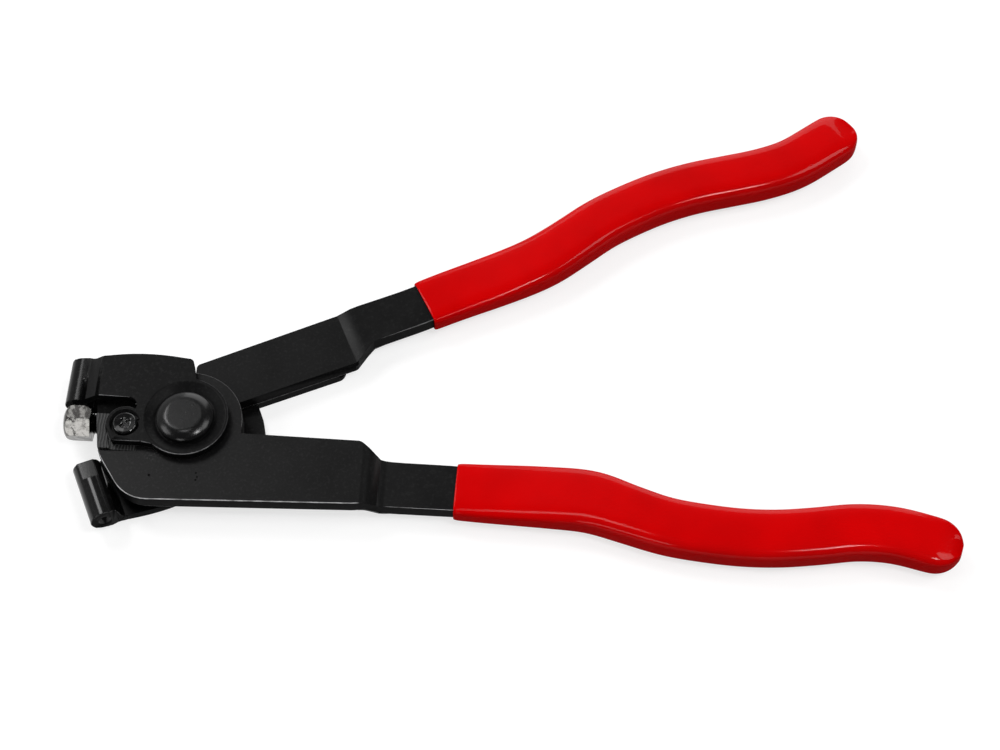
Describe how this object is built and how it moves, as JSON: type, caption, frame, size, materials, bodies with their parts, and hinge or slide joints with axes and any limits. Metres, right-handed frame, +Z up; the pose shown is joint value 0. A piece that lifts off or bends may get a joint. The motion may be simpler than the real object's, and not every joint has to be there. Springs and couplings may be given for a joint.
{
  "type": "ear clamp pliers",
  "caption": "Long pliers with rolled jaw tips that meet end to end, a hexagon stop screw beside the pivot and red dipped grips, lying half open.",
  "frame": {"origin": "centre of the pivot pin's flat foot, on the pivot's axis, in the plane that the tool rests on", "axes": "+X along the tool's middle line from the pivot towards the handle ends, +Y towards the upper handle's side, +Z up along the pivot's axis"},
  "size_m": [0.2356, 0.1474, 0.0156],
  "materials": {
    "black_steel": "satin black phosphated steel plate",
    "pin_steel": "dark polished steel",
    "bright_plate": "bright plated",
    "red_grip": "glossy dipped soft plastic"
  },
  "bodies": {
    "lower_side": {"lower_handle": "black_steel", "upper_jaw": "black_steel", "stop_block": "black_steel", "pivot_pin": "pin_steel", "pivot_nut": "pin_steel", "jaw_screw": "pin_steel", "lower_grip": "red_grip"},
    "upper_side": {"upper_handle": "black_steel", "lower_jaw": "black_steel", "lower_jaw_screw_front": "pin_steel", "lower_jaw_screw_rear": "pin_steel", "upper_grip": "red_grip"},
    "stop": {"stop_screw": "bright_plate"}
  },
  "joints": [
    {"name": "pivot", "type": "hinge", "parent": "lower_side", "child": "upper_side", "pos_m": [0, 0, 0], "axis": [0, 0, -1], "range_deg": [-5, 17]},
    {"name": "stop_screw_travel", "type": "slide", "parent": "lower_side", "child": "stop", "axis": [-0.9759, 0.2181, 0], "range_m": [-0.001, 0.0025]}
  ]
}
